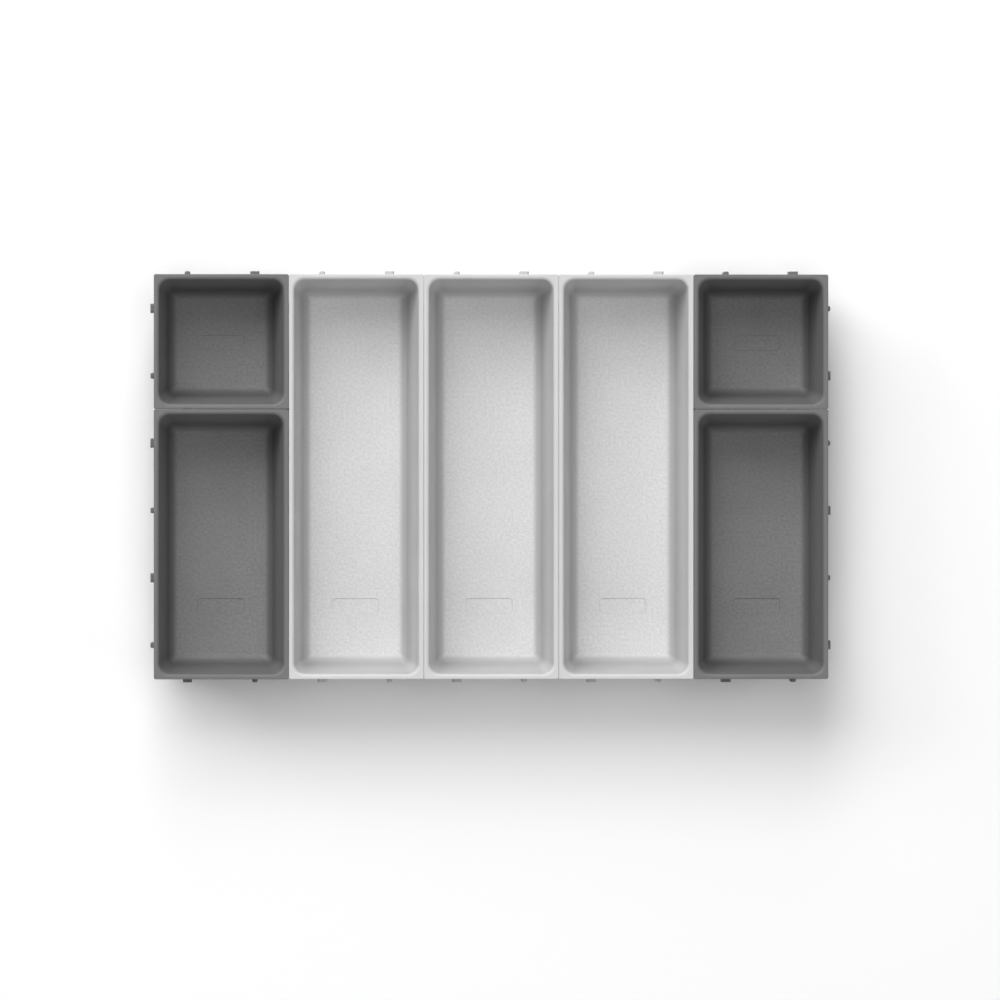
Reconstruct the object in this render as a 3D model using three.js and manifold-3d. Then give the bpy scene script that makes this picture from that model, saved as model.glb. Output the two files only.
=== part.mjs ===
// Modular drawer organizer insert: seven open-top bins on one square grid, clipped together by
// small studs and sockets on their sides. Units are millimetres, +Z is up, and the origin is at
// the middle of the footprint on the surface that the feet stand on. +X runs along the row of
// five bins and +Y runs to the back of the drawer.
import * as THREE from "three";
import { mergeVertices } from "three/addons/utils/BufferGeometryUtils.js";
import Module from "manifold-3d";

const wasm = await Module();
wasm.setup();

// ---- Driving dimensions ----
const CELL = 80; // grid pitch: a bin covers 1, 2 or 3 cells
const BIN_GAP = 0.4; // between the rims of neighbouring bins
const HEIGHT = 50; // drawer floor to rim
const FOOT_PROUD = 1; // how far the feet lift the base
const FLOOR_THICKNESS = 2.2;
const WALL_THICKNESS = 1.8; // measured level
const DRAFT = THREE.MathUtils.degToRad(8); // both faces of every wall lean out by this

const RIM_DEPTH = 2.2; // height of the flange
const RIM_FLAT = 1.2; // level land on top of the flange, from the outline inwards
const RIM_ROUND = 1.9; // radius from that land down into the bin
const RIM_EDGE = 0.4; // small radius on the flange's outer edges
const OUTLINE_RADIUS = 1.1; // the flange's corners, seen from above
const RIM_CORNER_RADIUS = 7.4; // the bin's inner corners at the rim
const FLOOR_CORNER_RADIUS = 0.8; // the same corners where they reach the flat floor
const FLOOR_FILLET = 6.4; // between wall and floor, inside
const BASE_EDGE = 3; // between wall and base, outside
const OVERSHOOT = 2; // how far a cutter runs past the face that it opens

// Each side of each cell carries one stud and one socket, either side of the cell's middle. A
// stud pushes straight into the neighbour's socket, where the lips of two springy prongs lie
// behind its head and a roof lies over it. "Out" is a distance beyond the bin's own outline.
const CLIP_OFFSET = CELL / 4;
const CLIP_BOTTOM = 22;
const CLIP_TOP = 38;
const CLIP_OUT = 2.2;
const CLIP_ROOT = -6.5; // reaches the wall at every height; the bin is hollowed out after this
const CLIP_PLAY = 0.12; // between the stud's head and the socket's mouth, each side
const STUD_HEAD_WIDTH = 3.4;
const STUD_TIP_WIDTH = 2.4;
const STUD_HEAD_OUT = -0.9; // where the neck ends and the head starts
const STUD_SHOULDER_OUT = 1.4; // where the head starts to narrow towards its tip
const STUD_NECK_WIDTH = 1.8;
const SOCKET_WIDTH = 5.4;
const PRONG_WIDTH = 0.75;
const ROOF_THICKNESS = 1.4; // joins the prongs at the top; the socket is open below
const ROOF_PLAY = 0.4; // between the roof and the stud under it
const PRONG_LIP_OUT = 1.5; // the prong's lip narrows the mouth from here outwards

const FOOT_RADIUS = 4.5;
const FOOT_SEAT_DEPTH = 0.7;
const FOOT_SEAT_PLAY = 0.3; // round the foot
const FOOT_GLUE = 0.3; // between the foot and the ceiling of its seat
const FOOT_INSET = 17; // from the edge of the bin's cells to a foot's middle

const PLATE_WIDTH = 28; // shallow blank panel in the floor of each bin
const PLATE_LENGTH = 9;
const PLATE_DEPTH = 0.25;
const PLATE_RADIUS = 2;
const PLATE_FROM_FRONT = 43; // on bins longer than one cell; in the middle of the others

const CORNER_DIVISIONS = 2; // a corner arc gets twice as many straight segments
const ROUND_STEPS = 3;
const FOOT_SIDES = 12;

const BASE_Z = FOOT_PROUD;
const FLOOR_Z = BASE_Z + FLOOR_THICKNESS;
const RIM_UNDER_Z = HEIGHT - RIM_DEPTH;
const OUTLINE_INSET = BIN_GAP / 2;

// ---- Materials ----
const plastic = (color) => new THREE.MeshStandardMaterial({ color, roughness: 0.55, metalness: 0 });
const lightPlastic = plastic(0xd4d4d4);
const darkPlastic = plastic(0x6b6b6b);
const footRubber = new THREE.MeshStandardMaterial({ color: 0x3a3a3a, roughness: 0.9, metalness: 0 });

// ---- Solids: three.js geometry in, three.js geometry out, joined and cut in between ----
function solid(geometry) {
  const bare = geometry.clone();
  bare.deleteAttribute("normal");
  bare.deleteAttribute("uv");
  const merged = mergeVertices(bare, 1e-4);
  return new wasm.Manifold(
    new wasm.Mesh({
      numProp: 3,
      vertProperties: merged.attributes.position.array,
      triVerts: new Uint32Array(merged.index.array),
    }),
  );
}

function geometryOf(manifold) {
  const mesh = manifold.getMesh();
  const geometry = new THREE.BufferGeometry();
  geometry.setAttribute("position", new THREE.BufferAttribute(mesh.vertProperties, 3));
  geometry.setIndex(new THREE.BufferAttribute(mesh.triVerts, 1));
  geometry.computeVertexNormals();
  return geometry;
}

// ---- Lofted bodies: a stack of rounded rectangles ----
// A level is {inset, z, radius}: inset is measured in from the edge of the bin's cells.
function roundedRectangle(width, length, radius) {
  const x = width / 2 - radius;
  const y = length / 2 - radius;
  const quarter = Math.PI / 2;
  const shape = new THREE.Shape();
  shape.absarc(x, y, radius, 0, quarter);
  shape.absarc(-x, y, radius, quarter, 2 * quarter);
  shape.absarc(-x, -y, radius, 2 * quarter, 3 * quarter);
  shape.absarc(x, -y, radius, 3 * quarter, 4 * quarter);
  return shape;
}

function loft(width, length, levels) {
  const rings = levels.map(({ inset, radius }) =>
    roundedRectangle(width - 2 * inset, length - 2 * inset, radius)
      .getPoints(CORNER_DIVISIONS)
      .slice(0, -1),
  );
  const count = rings[0].length;
  const positions = rings.flatMap((ring, i) => ring.flatMap((p) => [p.x, p.y, levels[i].z]));
  const index = [];
  for (let i = 0; i + 1 < rings.length; i++) {
    for (let j = 0; j < count; j++) {
      const k = (j + 1) % count;
      const [a, b] = [i * count + j, i * count + k];
      index.push(a, b, b + count, a, b + count, a + count);
    }
  }
  const top = (rings.length - 1) * count;
  for (const [a, b, c] of THREE.ShapeUtils.triangulateShape(rings[0], [])) index.push(a, c, b);
  for (const [a, b, c] of THREE.ShapeUtils.triangulateShape(rings.at(-1), [])) {
    index.push(top + a, top + b, top + c);
  }
  const geometry = new THREE.BufferGeometry();
  geometry.setAttribute("position", new THREE.Float32BufferAttribute(positions, 3));
  geometry.setIndex(index);
  return solid(geometry);
}

const arcSteps = (from, to) =>
  Array.from({ length: ROUND_STEPS + 1 }, (_, i) => from + ((to - from) * i) / ROUND_STEPS);

// The inner wall starts where the rim's radius meets it and leans in towards the floor. Each arc
// turns from level as far as the leaning wall, which is less than a quarter turn by the draft.
const ROUND_END = Math.PI / 2 - DRAFT;
const WALL_TOP_INSET = OUTLINE_INSET + RIM_FLAT + RIM_ROUND * Math.sin(ROUND_END);
const WALL_TOP_Z = HEIGHT - RIM_ROUND * (1 - Math.cos(ROUND_END));
const innerInset = (z) => WALL_TOP_INSET + (WALL_TOP_Z - z) * Math.tan(DRAFT);
const FILLET_TOP_Z = FLOOR_Z + FLOOR_FILLET * (1 - Math.sin(DRAFT));
const FLOOR_INSET = innerInset(FILLET_TOP_Z) + FLOOR_FILLET * Math.cos(DRAFT);

// The corners sharpen steadily from the rim to the floor.
const RIM_INSET = OUTLINE_INSET + RIM_FLAT;
function cornerRadius(inset) {
  const share = (inset - RIM_INSET) / (FLOOR_INSET - RIM_INSET);
  return THREE.MathUtils.lerp(RIM_CORNER_RADIUS, FLOOR_CORNER_RADIUS, share);
}

function cavityLevels() {
  const fillet = arcSteps(0, ROUND_END).map((angle) => ({
    inset: FLOOR_INSET - FLOOR_FILLET * Math.sin(angle),
    z: FLOOR_Z + FLOOR_FILLET * (1 - Math.cos(angle)),
  }));
  const round = arcSteps(ROUND_END, 0).map((angle) => ({
    inset: RIM_INSET + RIM_ROUND * Math.sin(angle),
    z: HEIGHT - RIM_ROUND * (1 - Math.cos(angle)),
  }));
  const above = { inset: RIM_INSET, z: HEIGHT + OVERSHOOT };
  return [...fillet, ...round, above].map((level) => ({ ...level, radius: cornerRadius(level.inset) }));
}

function outerLevels() {
  const outerInset = (z) => innerInset(z) - WALL_THICKNESS;
  const wallRadius = (z) => cornerRadius(innerInset(z)) + WALL_THICKNESS;
  const edgeTopZ = BASE_Z + BASE_EDGE * (1 - Math.sin(DRAFT));
  const baseInset = outerInset(edgeTopZ) + BASE_EDGE * Math.cos(DRAFT);
  const edge = arcSteps(0, ROUND_END).map((angle) => ({
    inset: baseInset - BASE_EDGE * Math.sin(angle),
    z: BASE_Z + BASE_EDGE * (1 - Math.cos(angle)),
    radius: wallRadius(edgeTopZ) - (BASE_EDGE - BASE_EDGE * Math.sin(angle)),
  }));
  const underRim = {
    inset: outerInset(RIM_UNDER_Z),
    z: RIM_UNDER_Z,
    radius: wallRadius(RIM_UNDER_Z),
  };
  const flange = [
    [RIM_EDGE, RIM_UNDER_Z],
    [0, RIM_UNDER_Z + RIM_EDGE],
    [0, HEIGHT - RIM_EDGE],
    [RIM_EDGE, HEIGHT],
  ].map(([inset, z]) => ({ inset: OUTLINE_INSET + inset, z, radius: OUTLINE_RADIUS - inset }));
  return [...edge, underRim, ...flange];
}

// ---- Clips ----
// Plan shapes with x along the side of the bin and y outwards from its outline.
const polygon = (points) => new THREE.Shape(points.map(([x, y]) => new THREE.Vector2(x, y)));

function studShape() {
  const half = [
    [STUD_NECK_WIDTH / 2, CLIP_ROOT],
    [STUD_NECK_WIDTH / 2, STUD_HEAD_OUT],
    [STUD_HEAD_WIDTH / 2, STUD_HEAD_OUT],
    [STUD_HEAD_WIDTH / 2, STUD_SHOULDER_OUT],
    [STUD_TIP_WIDTH / 2, CLIP_OUT],
  ];
  const mirrored = half.map(([x, y]) => [-x, y]).reverse();
  return polygon([...half, ...mirrored]);
}

function prongShape(side) {
  const outer = SOCKET_WIDTH / 2;
  const inner = outer - PRONG_WIDTH;
  const mouth = STUD_HEAD_WIDTH / 2 + CLIP_PLAY;
  const points = [
    [inner, CLIP_ROOT],
    [outer, CLIP_ROOT],
    [outer, CLIP_OUT],
    [mouth, CLIP_OUT],
    [mouth, PRONG_LIP_OUT],
    [inner, PRONG_LIP_OUT],
  ];
  return polygon(points.map(([x, y]) => [side * x, y]));
}

function roofShape() {
  const half = SOCKET_WIDTH / 2;
  return polygon([[-half, CLIP_ROOT], [half, CLIP_ROOT], [half, CLIP_OUT], [-half, CLIP_OUT]]);
}

function upright(shape, bottom, top) {
  const geometry = new THREE.ExtrudeGeometry(shape, { depth: top - bottom, bevelEnabled: false });
  return solid(geometry.translate(0, 0, bottom));
}

function studSolid() {
  return upright(studShape(), CLIP_BOTTOM, CLIP_TOP - ROOF_THICKNESS - ROOF_PLAY);
}

function socketSolid() {
  const roof = upright(roofShape(), CLIP_TOP - ROOF_THICKNESS, CLIP_TOP);
  const prongs = [-1, 1].map((side) => upright(prongShape(side), CLIP_BOTTOM, CLIP_TOP));
  return roof.add(prongs[0]).add(prongs[1]);
}

// The sides in turn: back, right, front and left. Along each of them, clockwise from above, a
// stud comes before a socket, so that any two sides of any two bins clip together.
function clipsOf(cellsAcross, cellsDeep) {
  const stud = studSolid().translate([-CLIP_OFFSET, 0, 0]);
  const socket = socketSolid().translate([CLIP_OFFSET, 0, 0]);
  const clips = [];
  for (let quarterTurn = 0; quarterTurn < 4; quarterTurn++) {
    const alongDepth = quarterTurn % 2 === 1;
    const cellsAlong = alongDepth ? cellsDeep : cellsAcross;
    const cellsOut = alongDepth ? cellsAcross : cellsDeep;
    const edge = (cellsOut * CELL) / 2 - OUTLINE_INSET;
    for (let cell = 0; cell < cellsAlong; cell++) {
      const middle = (cell - (cellsAlong - 1) / 2) * CELL;
      for (const piece of [stud, socket]) {
        clips.push(piece.translate([middle, edge, 0]).rotate([0, 0, -90 * quarterTurn]));
      }
    }
  }
  return clips;
}

// ---- Feet ----
function footPlaces(cellsAcross, cellsDeep) {
  const x = (cellsAcross * CELL) / 2 - FOOT_INSET;
  const y = (cellsDeep * CELL) / 2 - FOOT_INSET;
  return [
    ["front_left", -x, -y],
    ["front_right", x, -y],
    ["back_left", -x, y],
    ["back_right", x, y],
  ];
}

function footGeometry() {
  const top = FOOT_PROUD + FOOT_SEAT_DEPTH - FOOT_GLUE;
  const profile = [
    [0, 0],
    [FOOT_RADIUS, 0],
    [FOOT_RADIUS, top],
    [0, top],
  ].map(([r, z]) => new THREE.Vector2(r, z));
  return new THREE.LatheGeometry(profile, FOOT_SIDES).rotateX(Math.PI / 2);
}

function footSeat(x, y) {
  const depth = FOOT_SEAT_DEPTH + OVERSHOOT;
  const cutter = new THREE.CylinderGeometry(
    FOOT_RADIUS + FOOT_SEAT_PLAY,
    FOOT_RADIUS + FOOT_SEAT_PLAY,
    depth,
    FOOT_SIDES,
  );
  cutter.rotateX(Math.PI / 2).translate(x, y, BASE_Z + FOOT_SEAT_DEPTH - depth / 2);
  return solid(cutter);
}

// ---- One bin ----
function platePanel(cellsDeep) {
  const y = cellsDeep === 1 ? 0 : PLATE_FROM_FRONT - (cellsDeep * CELL) / 2;
  const panel = new THREE.ExtrudeGeometry(roundedRectangle(PLATE_WIDTH, PLATE_LENGTH, PLATE_RADIUS), {
    depth: OVERSHOOT,
    bevelEnabled: false,
    curveSegments: CORNER_DIVISIONS,
  });
  return solid(panel.translate(0, y, FLOOR_Z - PLATE_DEPTH));
}

function binGeometry(cellsAcross, cellsDeep) {
  const width = cellsAcross * CELL;
  const length = cellsDeep * CELL;
  let body = loft(width, length, outerLevels());
  for (const clip of clipsOf(cellsAcross, cellsDeep)) body = body.add(clip);
  body = body.subtract(loft(width, length, cavityLevels()));
  body = body.subtract(platePanel(cellsDeep));
  for (const [, x, y] of footPlaces(cellsAcross, cellsDeep)) body = body.subtract(footSeat(x, y));
  return geometryOf(body);
}

function bin(name, cellsDeep, material, x, y) {
  const group = new THREE.Group();
  group.position.set(x, y, 0);
  const shell = new THREE.Mesh(binGeometry(1, cellsDeep), material);
  shell.name = name;
  group.add(shell);
  for (const [corner, footX, footY] of footPlaces(1, cellsDeep)) {
    const foot = new THREE.Mesh(footGeometry(), footRubber);
    foot.name = `${name}_foot_${corner}`;
    foot.position.set(footX, footY, 0);
    group.add(foot);
  }
  return group;
}

// ---- The insert: five columns, three cells deep ----
const organizer = new THREE.Group();
for (const [side, column] of [["left", -1], ["center", 0], ["right", 1]]) {
  organizer.add(bin(`long_bin_${side}`, 3, lightPlastic, column * CELL, 0));
}
for (const [side, column] of [["left", -2], ["right", 2]]) {
  organizer.add(bin(`medium_bin_${side}`, 2, darkPlastic, column * CELL, -CELL / 2));
  organizer.add(bin(`small_bin_${side}`, 1, darkPlastic, column * CELL, CELL));
}

export default organizer;
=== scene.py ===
"""The looks of a modular drawer organizer insert: seven moulded bins that clip together side to
side, each on four rubber feet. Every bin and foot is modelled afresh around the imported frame, in
metres, with +X along the row of five bins, +Y to the back and +Z up."""

import math

import bmesh
import bpy
from mathutils import Matrix, Vector
from mathutils.geometry import tessellate_polygon


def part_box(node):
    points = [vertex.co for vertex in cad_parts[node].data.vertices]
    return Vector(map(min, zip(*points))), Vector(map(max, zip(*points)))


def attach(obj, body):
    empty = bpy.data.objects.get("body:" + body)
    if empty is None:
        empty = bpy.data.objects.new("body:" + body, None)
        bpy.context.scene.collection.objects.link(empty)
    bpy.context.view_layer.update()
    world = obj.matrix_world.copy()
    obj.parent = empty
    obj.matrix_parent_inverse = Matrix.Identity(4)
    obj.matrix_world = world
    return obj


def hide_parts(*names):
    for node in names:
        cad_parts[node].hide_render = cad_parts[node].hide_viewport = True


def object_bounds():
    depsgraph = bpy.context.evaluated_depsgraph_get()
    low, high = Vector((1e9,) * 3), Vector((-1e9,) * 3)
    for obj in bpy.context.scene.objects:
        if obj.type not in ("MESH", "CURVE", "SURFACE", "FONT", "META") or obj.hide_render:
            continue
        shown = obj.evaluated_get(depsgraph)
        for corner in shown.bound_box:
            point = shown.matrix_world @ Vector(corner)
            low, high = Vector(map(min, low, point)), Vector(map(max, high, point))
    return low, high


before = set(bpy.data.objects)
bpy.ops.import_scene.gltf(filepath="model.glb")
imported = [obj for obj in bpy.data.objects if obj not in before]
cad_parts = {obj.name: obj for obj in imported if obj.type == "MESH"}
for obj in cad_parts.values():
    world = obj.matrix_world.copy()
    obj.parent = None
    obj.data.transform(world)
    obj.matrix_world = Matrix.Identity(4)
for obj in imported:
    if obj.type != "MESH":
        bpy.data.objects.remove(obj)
cad_low, cad_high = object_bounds()

MM = 0.001

# ---- The grid and the bin's section ----
CELL = 80 * MM
BIN_GAP = 0.4 * MM
HEIGHT = cad_high[2]
BASE_Z = 1.0 * MM
FLOOR_Z = BASE_Z + 2.2 * MM
WALL_THICKNESS = 1.8 * MM
DRAFT = math.radians(8)

RIM_DEPTH = 2.2 * MM
RIM_FLAT = 1.2 * MM
RIM_ROUND = 1.9 * MM
RIM_EDGE = 0.4 * MM
RIM_ROOT = 0.9 * MM  # fillet between the flange's underside and the wall
OUTLINE_RADIUS = 1.1 * MM
RIM_CORNER_RADIUS = 7.4 * MM
FLOOR_CORNER_RADIUS = 0.8 * MM
FLOOR_FILLET = 6.4 * MM
BASE_EDGE = 3.0 * MM

OUTLINE_INSET = BIN_GAP / 2
RIM_EDGE_INSET = 0.05 * MM  # rims of neighbours all but touch
RIM_INSET = OUTLINE_INSET + RIM_FLAT
RIM_UNDER_Z = HEIGHT - RIM_DEPTH

# ---- Clips: "out" is measured from the bin's outline ----
CLIP_OFFSET = CELL / 4
CLIP_BOTTOM = 22 * MM
CLIP_TOP = 38 * MM
CLIP_OUT = 2.2 * MM
CLIP_PLAY = 0.12 * MM
CLIP_BEVEL = 0.16 * MM
STUD_HEAD = 3.4 * MM
STUD_TIP = 2.4 * MM
STUD_NECK = 1.8 * MM
STUD_HEAD_OUT = -0.9 * MM
STUD_SHOULDER_OUT = 1.4 * MM
SOCKET_WIDTH = 5.4 * MM
PRONG_WIDTH = 0.75 * MM
ROOF_Z = CLIP_TOP - 1.4 * MM
STUD_TOP = ROOF_Z - 0.4 * MM
PRONG_LIP_OUT = 1.5 * MM
CLIP_SLOPE = 0.8 * MM  # how far each side of a clip's top leans in
CLIP_SLOPE_HEIGHT = 1.4 * MM

# ---- Panel in the floor, and feet under the base ----
PLATE_WIDTH = 28 * MM
PLATE_LENGTH = 9 * MM
PLATE_DEPTH = 0.25 * MM
PLATE_RADIUS = 2 * MM
PLATE_FROM_FRONT = 43 * MM  # on bins longer than one cell; in the middle of the others
PLATE_EDGE = ((0, 0), (0.4, 0.15), (1, 1))  # how far in and down, as shares of the depth
FOOT_RADIUS = 4.5 * MM
FOOT_TOP = 1.4 * MM
FOOT_EDGE = 0.35 * MM
FOOT_GROOVES = (1.5 * MM, 2.9 * MM)
FOOT_GROOVE_WIDTH = 0.35 * MM
FOOT_GROOVE_DEPTH = 0.25 * MM
SEAT_RADIUS = FOOT_RADIUS + 0.3 * MM
SEAT_Z = BASE_Z + 0.7 * MM
FOOT_INSET = 17 * MM

# ---- Fineness of the meshes ----
CORNER_STEPS = 10
FILLET_STEPS = 12
ROUND_STEPS = 9
BASE_EDGE_STEPS = 6
EDGE_STEPS = 4
WALL_ROWS = 6
SEAT_SIDES = 48
SHARP_ANGLE = math.radians(35)

# ---- Section of a bin: a list of (inset from the cells' edge, height, corner radius) ----
# The wall leans, so each arc turns from level by less than a quarter turn before it meets it.
WALL_ANGLE = math.pi / 2 - DRAFT
WALL_TOP_INSET = RIM_INSET + RIM_ROUND * math.sin(WALL_ANGLE)
WALL_TOP_Z = HEIGHT - RIM_ROUND * (1 - math.cos(WALL_ANGLE))


def inner_inset(z):
    return WALL_TOP_INSET + (WALL_TOP_Z - z) * math.tan(DRAFT)


def outer_inset(z):
    return inner_inset(z) - WALL_THICKNESS


FILLET_TOP_Z = FLOOR_Z + FLOOR_FILLET * (1 - math.sin(DRAFT))
FLOOR_INSET = inner_inset(FILLET_TOP_Z) + FLOOR_FILLET * math.cos(DRAFT)


def corner_radius(inset):
    share = (inset - RIM_INSET) / (FLOOR_INSET - RIM_INSET)
    return RIM_CORNER_RADIUS + (FLOOR_CORNER_RADIUS - RIM_CORNER_RADIUS) * share


def wall_radius(z):
    return corner_radius(inner_inset(z)) + WALL_THICKNESS


def steps(start, end, count):
    return [start + (end - start) * i / count for i in range(count + 1)]


def arc(radius, angle):
    """How far an arc that starts level has gone along and up or down, when turned by an angle."""
    return radius * math.sin(angle), radius * (1 - math.cos(angle))


def outer_section():
    """From the flat base, round its edge and up the wall to the flange's land."""
    edge_top = BASE_Z + BASE_EDGE * (1 - math.sin(DRAFT))
    base_inset = outer_inset(edge_top) + BASE_EDGE * math.cos(DRAFT)
    levels = []
    for angle in steps(0, WALL_ANGLE, BASE_EDGE_STEPS):
        run, rise = arc(BASE_EDGE, angle)
        radius = wall_radius(edge_top) - (BASE_EDGE - run)
        levels.append((base_inset - run, BASE_Z + rise, radius))
    # the root fillet touches the leaning wall below and the level underside above
    turn = math.pi / 2 + DRAFT
    reach = RIM_ROOT * math.tan(turn / 2)
    root_z = RIM_UNDER_Z - reach * math.cos(DRAFT)
    for z in steps(edge_top, root_z, WALL_ROWS)[1:]:
        levels.append((outer_inset(z), z, wall_radius(z)))
    for angle in steps(0, turn, EDGE_STEPS)[1:]:
        run = RIM_ROOT * (math.cos(DRAFT) - math.cos(DRAFT - angle))
        rise = RIM_ROOT * (math.sin(DRAFT) - math.sin(DRAFT - angle))
        levels.append((outer_inset(root_z) + run, root_z + rise, wall_radius(root_z) + run))
    for angle in steps(0, math.pi / 2, EDGE_STEPS):
        inset = RIM_EDGE * (1 - math.sin(angle))
        z = RIM_UNDER_Z + RIM_EDGE * (1 - math.cos(angle))
        levels.append((RIM_EDGE_INSET + inset, z, OUTLINE_RADIUS - inset))
    for angle in steps(0, math.pi / 2, EDGE_STEPS):
        inset = RIM_EDGE * (1 - math.cos(angle))
        z = HEIGHT - RIM_EDGE * (1 - math.sin(angle))
        levels.append((RIM_EDGE_INSET + inset, z, OUTLINE_RADIUS - inset))
    return levels


def inner_section():
    """From the flange's land, down the wall and round the fillet to the flat floor."""
    levels = []
    for angle in steps(0, WALL_ANGLE, ROUND_STEPS):
        run, drop = arc(RIM_ROUND, angle)
        levels.append((RIM_INSET + run, HEIGHT - drop))
    for z in steps(WALL_TOP_Z, FILLET_TOP_Z, WALL_ROWS)[1:-1]:
        levels.append((inner_inset(z), z))
    for angle in steps(WALL_ANGLE, 0, FILLET_STEPS):
        run, rise = arc(FLOOR_FILLET, angle)
        levels.append((FLOOR_INSET - run, FLOOR_Z + rise))
    return [(inset, z, corner_radius(inset)) for inset, z in levels]


# ---- Mesh building ----
class Surface:
    """A closed surface grown ring by ring."""

    def __init__(self):
        self.points = []
        self.faces = []

    def ring(self, points):
        start = len(self.points)
        self.points.extend(points)
        return list(range(start, len(self.points)))

    def bridge(self, low, high):
        count = len(low)
        for i in range(count):
            j = (i + 1) % count
            self.faces.append((low[i], low[j], high[j], high[i]))

    def stack(self, rings):
        for low, high in zip(rings, rings[1:]):
            self.bridge(low, high)

    def mesh(self, name):
        mesh = bpy.data.meshes.new(name)
        mesh.from_pydata(self.points, [], self.faces)
        made = bmesh.new()
        made.from_mesh(mesh)
        bmesh.ops.recalc_face_normals(made, faces=made.faces)
        made.to_mesh(mesh)
        made.free()
        return mesh


def rounded_rectangle(width, length, radius, z, middle=(0, 0)):
    """One level ring of points, anticlockwise from above."""
    points = []
    for quarter in range(4):
        side_x = 1 if quarter in (0, 3) else -1
        side_y = 1 if quarter in (0, 1) else -1
        centre_x = middle[0] + side_x * (width / 2 - radius)
        centre_y = middle[1] + side_y * (length / 2 - radius)
        for angle in steps(quarter * math.pi / 2, (quarter + 1) * math.pi / 2, CORNER_STEPS):
            points.append((centre_x + radius * math.cos(angle), centre_y + radius * math.sin(angle), z))
    return points


def circle(radius, z, middle, sides):
    angles = [2 * math.pi * i / sides for i in range(sides)]
    return [(middle[0] + radius * math.cos(a), middle[1] + radius * math.sin(a), z) for a in angles]


def foot_places(cells):
    x = CELL / 2 - FOOT_INSET
    y = cells * CELL / 2 - FOOT_INSET
    return {"front_left": (-x, -y), "front_right": (x, -y), "back_left": (-x, y), "back_right": (x, y)}


def close_base(surface, outline, cells):
    """The flat base, with a round seat sunk into it for each foot."""
    mouths = []
    for middle in foot_places(cells).values():
        mouth = surface.ring(circle(SEAT_RADIUS, BASE_Z, middle, SEAT_SIDES))
        ceiling = surface.ring(circle(SEAT_RADIUS, SEAT_Z, middle, SEAT_SIDES))
        surface.bridge(mouth, ceiling)
        surface.faces.append(tuple(ceiling))
        mouths.append(mouth)
    loops = [outline, *mouths]
    indices = [i for loop in loops for i in loop]
    shapes = [[Vector(surface.points[i]) for i in loop] for loop in loops]
    for triangle in tessellate_polygon(shapes):
        surface.faces.append(tuple(indices[i] for i in triangle))


def close_floor(surface, outline, cells):
    """The flat floor, with a shallow blank panel in it."""
    y = 0 if cells == 1 else PLATE_FROM_FRONT - cells * CELL / 2
    rings = [outline]
    for share_in, share_down in PLATE_EDGE:
        inset = PLATE_DEPTH * share_in
        z = FLOOR_Z - PLATE_DEPTH * share_down
        size = (PLATE_WIDTH - 2 * inset, PLATE_LENGTH - 2 * inset, PLATE_RADIUS - inset)
        rings.append(surface.ring(rounded_rectangle(*size, z, (0, y))))
    surface.stack(rings)
    surface.faces.append(tuple(rings[-1]))


def shell_mesh(cells):
    """One bin without its clips, about its own middle."""
    surface = Surface()
    rings = []
    for inset, z, radius in outer_section() + inner_section():
        size = (CELL - 2 * inset, cells * CELL - 2 * inset, radius)
        rings.append(surface.ring(rounded_rectangle(*size, z)))
    surface.stack(rings)
    close_base(surface, rings[0], cells)
    close_floor(surface, rings[-1], cells)
    return surface.mesh("shell")


# ---- Clips ----
ROOT = None  # stands for a clip's root inside the wall, which leans


def clip_root(z):
    """Halfway into the wall, so that the clip joins it at every height."""
    return OUTLINE_INSET - outer_inset(z) - WALL_THICKNESS / 2


class Clip:
    """A closed solid in bmesh, drawn as plans at a few heights. x runs along the side of the bin
    and y grows outwards from its outline."""

    def __init__(self, made, place):
        self.made = made
        self.place = place
        self.faces = []
        self.rooted = set()

    def plan(self, points, z):
        verts = []
        for x, y in points:
            vert = self.made.verts.new(self.place @ Vector((x, clip_root(z) if y is ROOT else y, z)))
            if y is ROOT:
                self.rooted.add(vert)
            verts.append(vert)
        return verts

    def cap(self, verts):
        self.faces.append(self.made.faces.new(verts))

    def sides(self, low, high):
        for i in range(len(low)):
            j = (i + 1) % len(low)
            self.cap((low[i], low[j], high[j], high[i]))

    def finish(self):
        """Turn the faces outwards and bevel every edge but those of the root."""
        bmesh.ops.recalc_face_normals(self.made, faces=self.faces)
        edges = {e for face in self.faces for e in face.edges if not self.rooted.issuperset(e.verts)}
        bmesh.ops.bevel(
            self.made, geom=list(edges), offset=CLIP_BEVEL, segments=2, profile=0.5, affect="EDGES"
        )


def narrowed(outline):
    """The outline of a clip's top, between its sloping sides."""
    widest = max(x for x, y in outline)
    return [(x * (1 - CLIP_SLOPE / widest), y) for x, y in outline]


def add_stud(made, place):
    """A head on a narrow neck."""
    half = [
        (STUD_NECK / 2, ROOT),
        (STUD_NECK / 2, STUD_HEAD_OUT),
        (STUD_HEAD / 2, STUD_HEAD_OUT),
        (STUD_HEAD / 2, STUD_SHOULDER_OUT),
        (STUD_TIP / 2, CLIP_OUT),
    ]
    outline = half + [(-x, y) for x, y in reversed(half)]
    clip = Clip(made, place)
    low = clip.plan(outline, CLIP_BOTTOM)
    shoulder = clip.plan(outline, STUD_TOP - CLIP_SLOPE_HEIGHT)
    high = clip.plan(narrowed(outline), STUD_TOP)
    clip.cap(low)
    clip.sides(low, shoulder)
    clip.sides(shoulder, high)
    clip.cap(high)
    clip.finish()


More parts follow.
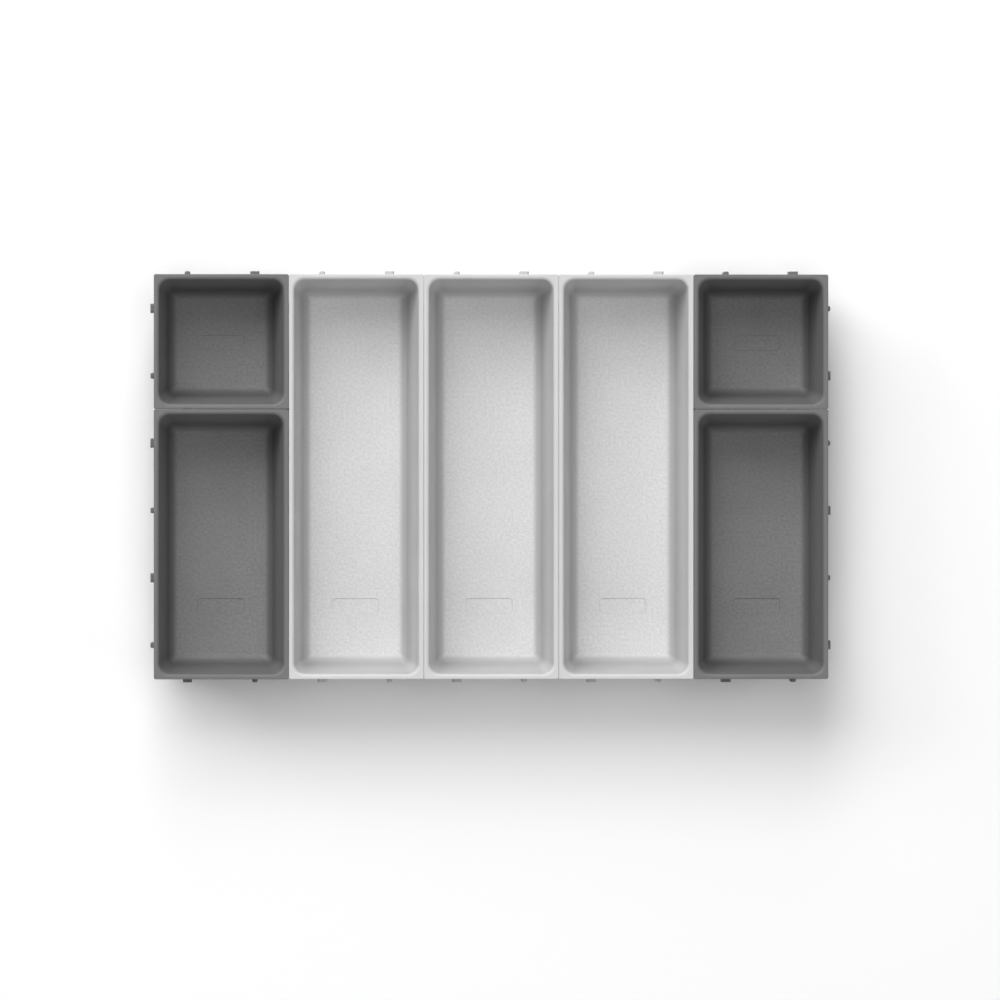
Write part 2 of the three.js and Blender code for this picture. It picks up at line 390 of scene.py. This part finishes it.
def add_socket(made, place):
    """Two lipped prongs under one roof."""
    outer = SOCKET_WIDTH / 2
    inner = outer - PRONG_WIDTH
    mouth = STUD_HEAD / 2 + CLIP_PLAY
    prong = [
        (inner, ROOT),
        (outer, ROOT),
        (outer, CLIP_OUT),
        (mouth, CLIP_OUT),
        (mouth, PRONG_LIP_OUT),
        (inner, PRONG_LIP_OUT),
    ]
    clip = Clip(made, place)
    inner_edges = []
    roof_ring = []
    for side in (1, -1):
        outline = [(side * x, y) for x, y in prong]
        low, high = clip.plan(outline, CLIP_BOTTOM), clip.plan(outline, ROOF_Z)
        clip.cap(low)
        clip.sides(low, high)
        inner_edges.append([high[0], *reversed(high[3:])])
        roof_ring.append(high[:4])
    right, left = inner_edges
    clip.cap(right + left[::-1])
    low = roof_ring[0] + roof_ring[1][::-1]
    roof = prong[:4] + [(-x, y) for x, y in reversed(prong[:4])]
    high = clip.plan(narrowed(roof), CLIP_TOP)
    clip.sides(low, high)
    clip.cap(high)
    clip.finish()


def clips_mesh(cells):
    """All studs and sockets of one bin. Clockwise from above, a stud comes first."""
    made = bmesh.new()
    for quarter in range(4):
        deep = quarter % 2 == 1
        along, out = (cells, 1) if deep else (1, cells)
        turn = Matrix.Rotation(-quarter * math.pi / 2, 4, "Z")
        for cell in range(along):
            middle = (cell - (along - 1) / 2) * CELL
            edge = out * CELL / 2 - OUTLINE_INSET
            stud = Matrix.Translation((middle - CLIP_OFFSET, edge, 0))
            socket = Matrix.Translation((middle + CLIP_OFFSET, edge, 0))
            add_stud(made, turn @ stud)
            add_socket(made, turn @ socket)
    mesh = bpy.data.meshes.new("clips")
    made.to_mesh(mesh)
    made.free()
    return mesh


# ---- Objects ----
def place_object(name, mesh):
    made = bpy.data.objects.new(name, mesh)
    bpy.context.scene.collection.objects.link(made)
    return made


def joined(name, mesh, addition):
    """The union of two closed meshes."""
    base, other = place_object(name, mesh), place_object("addition", addition)
    modifier = base.modifiers.new("union", "BOOLEAN")
    modifier.operation = "UNION"
    modifier.solver = "EXACT"
    modifier.object = other
    union = bpy.data.meshes.new_from_object(base.evaluated_get(bpy.context.evaluated_depsgraph_get()))
    bpy.data.objects.remove(base)
    bpy.data.objects.remove(other)
    union.name = name
    return union


def finish_shading(piece):
    for polygon in piece.data.polygons:
        polygon.use_smooth = True
    piece.data.set_sharp_from_angle(angle=SHARP_ANGLE)
    weighted = piece.modifiers.new("weighted normals", "WEIGHTED_NORMAL")
    weighted.keep_sharp = True


# ---- Feet ----
def foot_profile():
    """Half section of a foot from the middle of its underside to the middle of its top."""
    points = [(0, 0)]
    for radius in FOOT_GROOVES:
        half = FOOT_GROOVE_WIDTH / 2
        points += [(radius - half, 0), (radius, FOOT_GROOVE_DEPTH), (radius + half, 0)]
    for angle in steps(0, math.pi / 2, EDGE_STEPS):
        radius = FOOT_RADIUS - FOOT_EDGE * (1 - math.sin(angle))
        points.append((radius, FOOT_EDGE * (1 - math.cos(angle))))
    return points + [(FOOT_RADIUS, FOOT_TOP), (0, FOOT_TOP)]


def foot_mesh(middle):
    surface = Surface()
    profile = foot_profile()
    rings = [surface.ring(circle(r, z, middle, SEAT_SIDES)) for r, z in profile[1:-1]]
    surface.stack(rings)
    surface.faces.append(tuple(rings[0]))
    surface.faces.append(tuple(rings[-1]))
    return surface.mesh("foot")


# ---- Materials ----
# Noise scales are in features per metre, roughly.
STIPPLE_SCALE = 620
SKIN_SCALE = 3200
WAVE_SCALE = 45
CLOUD_SCALE = 28
RUBBER_CLOUD_SCALE = 400
RUBBER_SKIN_SCALE = 5000
FLOOR_TILT = (0.08, 0.68)  # the floor's finish and its painted light fade out up the fillet between these sines
FLOOR_FADE = (2.0 * MM, 5.0 * MM)  # and between these heights above the floor
PAINTED_CORNER_SHADE_FADE = (2.0 * MM, 34.0 * MM)  # the corner's painted shade fades out up the wall between these
# painted shade: the colour in the corner between floor and wall is multiplied by this
PAINTED_CORNER_SHADE = 0.86
PAINTED_RIM_LIGHT_FADE = (2.0 * MM, 0.4 * MM)  # the rim's painted light fades in between these depths below its top


def add_node(tree, kind, settings=None, inputs=None):
    node = tree.nodes.new(kind)
    for name, value in (settings or {}).items():
        setattr(node, name, value)
    for name, value in (inputs or {}).items():
        if isinstance(value, bpy.types.NodeSocket):
            tree.links.new(value, node.inputs[name])
        else:
            node.inputs[name].default_value = value
    return node


def map_range(tree, value, source, target):
    node = add_node(
        tree,
        "ShaderNodeMapRange",
        {"interpolation_type": "SMOOTHSTEP"},
        {
            "Value": value,
            "From Min": source[0],
            "From Max": source[1],
            "To Min": target[0],
            "To Max": target[1],
        },
    )
    return node.outputs["Result"]


def math_node(tree, operation, first, second):
    node = add_node(tree, "ShaderNodeMath", {"operation": operation}, {0: first, 1: second})
    return node.outputs["Value"]


def noise(tree, place, scale, detail, roughness=0.5):
    node = add_node(
        tree,
        "ShaderNodeTexNoise",
        {},
        {"Vector": place, "Scale": scale, "Detail": detail, "Roughness": roughness},
    )
    return node.outputs["Fac"]


def bump(tree, height, distance, strength, below=None):
    inputs = {"Height": height, "Distance": distance, "Strength": strength}
    if below is not None:
        inputs["Normal"] = below
    return add_node(tree, "ShaderNodeBump", {}, inputs).outputs["Normal"]


def new_material(name):
    material = bpy.data.materials.new(name)
    material.use_nodes = True
    return material, material.node_tree, material.node_tree.nodes["Principled BSDF"]


def moulded_plastic(name, tone, roughness, painted_floor_light, painted_rim_light, painted_pit_shade):
    """Satin moulded plastic, from black 0 to white 1 in tone. The floor and the rim's top are brighter
    than the walls by painted light, by their gains (on the floor partly also the stipple's paler
    finish;
    on the dark plastic the rim's gain below 1 is a little painted shade), and the corner between floor
    and wall is smooth and darker by painted shade. The stipple's mottle, by the given share each way,
    is painted shade in its pits and painted light on its bumps."""
    material, tree, shader = new_material(name)
    place = add_node(tree, "ShaderNodeTexCoord").outputs["Object"]
    height = add_node(tree, "ShaderNodeSeparateXYZ", {}, {0: place}).outputs["Z"]
    normal = add_node(tree, "ShaderNodeNewGeometry").outputs["Normal"]
    facing_up = add_node(tree, "ShaderNodeSeparateXYZ", {}, {0: normal}).outputs["Z"]
    cosine_squared = math_node(tree, "POWER", math_node(tree, "MAXIMUM", facing_up, 0.0), 2.0)
    sine = math_node(tree, "POWER", math_node(tree, "SUBTRACT", 1.0, cosine_squared), 0.5)
    flat = map_range(tree, sine, FLOOR_TILT, (1, 0))
    low = map_range(tree, height, [FLOOR_Z + rise for rise in FLOOR_FADE], (1, 0))
    on_floor = math_node(tree, "MULTIPLY", flat, low)
    painted_corner_shade_mask = map_range(tree, height, [FLOOR_Z + rise for rise in PAINTED_CORNER_SHADE_FADE], (1, 0))

    grain = noise(tree, place, STIPPLE_SCALE, 2.5, 0.55)
    floor_grain = math_node(tree, "MULTIPLY", grain, on_floor)
    skin = noise(tree, place, SKIN_SCALE, 2)
    waves = noise(tree, place, WAVE_SCALE, 2)
    cloud = noise(tree, place, CLOUD_SCALE, 3)

    # colour: slow drift in the melt, a floor paler by painted light with painted shade in the pits of
    # its stipple and painted light on its bumps, painted shade in the corner and painted light on the
    # rim's top
    drift = map_range(tree, cloud, (0.3, 0.7), (0.97, 1.0))
    # painted shade in the corner between floor and wall, fading out up the wall
    corner = map_range(tree, painted_corner_shade_mask, (0, 1), (1.0, PAINTED_CORNER_SHADE))
    # painted light on the rim's top: a gain above 1 on the light plastic, a little painted shade below
    # 1 on the dark
    rim = map_range(tree, height, [HEIGHT - depth for depth in PAINTED_RIM_LIGHT_FADE], (1.0, painted_rim_light))
    walls = math_node(tree, "MULTIPLY", corner, rim)
    # the floor's gain is painted light from above, partly also the stipple's paler finish; its mottle
    # is painted shade in the stipple's pits and painted light on its bumps
    painted_stipple_shade = (painted_floor_light * (1 - painted_pit_shade), painted_floor_light * (1 + painted_pit_shade))
    painted_floor_light_and_shade = map_range(tree, grain, (0.3, 0.7), painted_stipple_shade)
    walls_to_floor = add_node(
        tree, "ShaderNodeMix", {"data_type": "FLOAT"}, {"Factor": on_floor, "A": walls, "B": painted_floor_light_and_shade}
    )
    shade = math_node(tree, "MULTIPLY", drift, walls_to_floor.outputs["Result"])
    grey = math_node(tree, "MULTIPLY", shade, tone)
    colour = add_node(tree, "ShaderNodeCombineColor", {}, {"Red": grey, "Green": grey, "Blue": grey})
    tree.links.new(colour.outputs["Color"], shader.inputs["Base Color"])

    rubbed = map_range(tree, waves, (0.35, 0.65), (roughness - 0.04, roughness + 0.05))
    rough = math_node(tree, "ADD", rubbed, math_node(tree, "MULTIPLY", on_floor, 0.15))
    tree.links.new(rough, shader.inputs["Roughness"])

    surface = bump(tree, waves, 0.05 * MM, 0.3)
    surface = bump(tree, skin, 0.02 * MM, 0.5, surface)
    surface = bump(tree, floor_grain, 0.45 * MM, 0.8, surface)
    tree.links.new(surface, shader.inputs["Normal"])
    return material


def foot_rubber():
    material, tree, shader = new_material("foot_rubber")
    place = add_node(tree, "ShaderNodeTexCoord").outputs["Object"]
    cloud = noise(tree, place, RUBBER_CLOUD_SCALE, 3)
    skin = noise(tree, place, RUBBER_SKIN_SCALE, 2)
    grey = map_range(tree, cloud, (0.3, 0.7), (0.035, 0.06))
    colour = add_node(tree, "ShaderNodeCombineColor", {}, {"Red": grey, "Green": grey, "Blue": grey})
    tree.links.new(colour.outputs["Color"], shader.inputs["Base Color"])
    tree.links.new(map_range(tree, cloud, (0.3, 0.7), (0.75, 0.9)), shader.inputs["Roughness"])
    tree.links.new(bump(tree, skin, 0.04 * MM, 0.6), shader.inputs["Normal"])
    return material


# ---- The object ----
# the gains are painted light on the floor and the rim's top; the last share is painted shade and light
# on the stipple
light = moulded_plastic("light_plastic", 0.515, 0.5, painted_floor_light=1.31, painted_rim_light=1.12, painted_pit_shade=0.06)
dark = moulded_plastic("dark_plastic", 0.148, 0.55, painted_floor_light=1.45, painted_rim_light=0.95, painted_pit_shade=0.1)
rubber = foot_rubber()

BINS = {
    "long_bin_left": (3, light, "light_plastic"),
    "long_bin_center": (3, light, "light_plastic"),
    "long_bin_right": (3, light, "light_plastic"),
    "medium_bin_left": (2, dark, "dark_plastic"),
    "medium_bin_right": (2, dark, "dark_plastic"),
    "small_bin_left": (1, dark, "dark_plastic"),
    "small_bin_right": (1, dark, "dark_plastic"),
}

bin_meshes = {}
for cells in (1, 2, 3):
    bin_meshes[cells] = joined(f"bin_{cells}", shell_mesh(cells), clips_mesh(cells))


def middle_of(node):
    low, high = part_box(node)
    return (low[0] + high[0]) / 2, (low[1] + high[1]) / 2


def add_bin(node, cells, material):
    mesh = bin_meshes[cells].copy()
    mesh.transform(Matrix.Translation((*middle_of(node), 0)))
    mesh.materials.append(material)
    piece = place_object(f"{node}_moulding", mesh)
    finish_shading(piece)
    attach(piece, node)
    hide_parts(node)


def add_foot(node, corner):
    foot_node = f"{node}_foot_{corner}"
    foot = place_object(f"{foot_node}_pad", foot_mesh(middle_of(foot_node)))
    foot.data.materials.append(rubber)
    finish_shading(foot)
    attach(foot, node)
    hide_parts(foot_node)


for node, (cells, material, slot) in BINS.items():
    add_bin(node, cells, material)
    for corner in foot_places(cells):
        add_foot(node, corner)


# ---- Floor, light and camera ----
STUDIO_HALF = 3.0
STUDIO_TONE = 0.92
STUDIO_DROP = 0.1 * MM  # just under the feet
LAMP_DISTANCE = 3.5
CAMERA_DISTANCE = 6.0
CAMERA_LEAN = math.radians(1.8)
CAMERA_AIM = Vector((5.1 * MM, -13.8 * MM, HEIGHT))
FRAME_WIDTH = CELL * 200 / 27  # what the picture spans at the height of the rims
SENSOR_WIDTH = 36  # mm


def studio_floor():
    half = STUDIO_HALF
    corners = [(-half, -half, 0), (half, -half, 0), (half, half, 0), (-half, half, 0)]
    mesh = bpy.data.meshes.new("studio_floor")
    mesh.from_pydata(corners, [], [(0, 1, 2, 3)])
    material, _, shader = new_material("studio_floor")
    shader.inputs["Base Color"].default_value = (STUDIO_TONE, STUDIO_TONE, STUDIO_TONE, 1)
    shader.inputs["Roughness"].default_value = 0.9
    mesh.materials.append(material)
    floor = place_object("studio_floor", mesh)
    floor.location.z = -STUDIO_DROP


def softbox(name, azimuth, elevation, size, power):
    """A square lamp facing the object. azimuth is measured clockwise from the back, in degrees."""
    turn, rise = math.radians(azimuth), math.radians(elevation)
    level = math.cos(rise)
    direction = Vector((math.sin(turn) * level, math.cos(turn) * level, math.sin(rise)))
    lamp = bpy.data.lights.new(name, "AREA")
    lamp.shape = "SQUARE"
    lamp.size = size
    lamp.energy = power
    made = place_object(name, lamp)
    made.location = direction * LAMP_DISTANCE
    made.rotation_euler = (-direction).to_track_quat("-Z", "Y").to_euler()


def sky(strength, backdrop):
    """A faint even light. The camera sees it as a pale backdrop beyond the floor."""
    world = bpy.data.worlds.new("sky")
    world.use_nodes = True
    tree = world.node_tree
    seen = add_node(tree, "ShaderNodeLightPath").outputs["Is Camera Ray"]
    level = add_node(
        tree, "ShaderNodeMix", {"data_type": "FLOAT"}, {"Factor": seen, "A": strength, "B": backdrop}
    )
    background = tree.nodes["Background"]
    background.inputs["Color"].default_value = (1, 1, 1, 1)
    tree.links.new(level.outputs["Result"], background.inputs["Strength"])
    bpy.context.scene.world = world


def camera():
    """Nearly straight down on the rims, from a little to the left."""
    towards = Vector((-math.sin(CAMERA_LEAN), 0, math.cos(CAMERA_LEAN)))
    data = bpy.data.cameras.new("camera")
    data.sensor_width = SENSOR_WIDTH
    data.lens = SENSOR_WIDTH * CAMERA_DISTANCE / FRAME_WIDTH
    data.clip_end = 50
    made = place_object("camera", data)
    made.location = CAMERA_AIM + towards * CAMERA_DISTANCE
    made.rotation_euler = (0, -CAMERA_LEAN, 0)
    bpy.context.scene.camera = made


studio_floor()
sky(0.05, 0.95)
softbox("key", -22, 46, 2.4, 81)
softbox("low_left", -60, 25, 1.6, 38)
softbox("low_back", 0, 28, 1.6, 30)
softbox("fill_right", 90, 30, 2.4, 24)
softbox("fill_front", 180, 25, 2.4, 28)
softbox("top", 0, 89.9, 2.4, 39)
camera()
bpy.context.scene.view_settings.view_transform = "Standard"
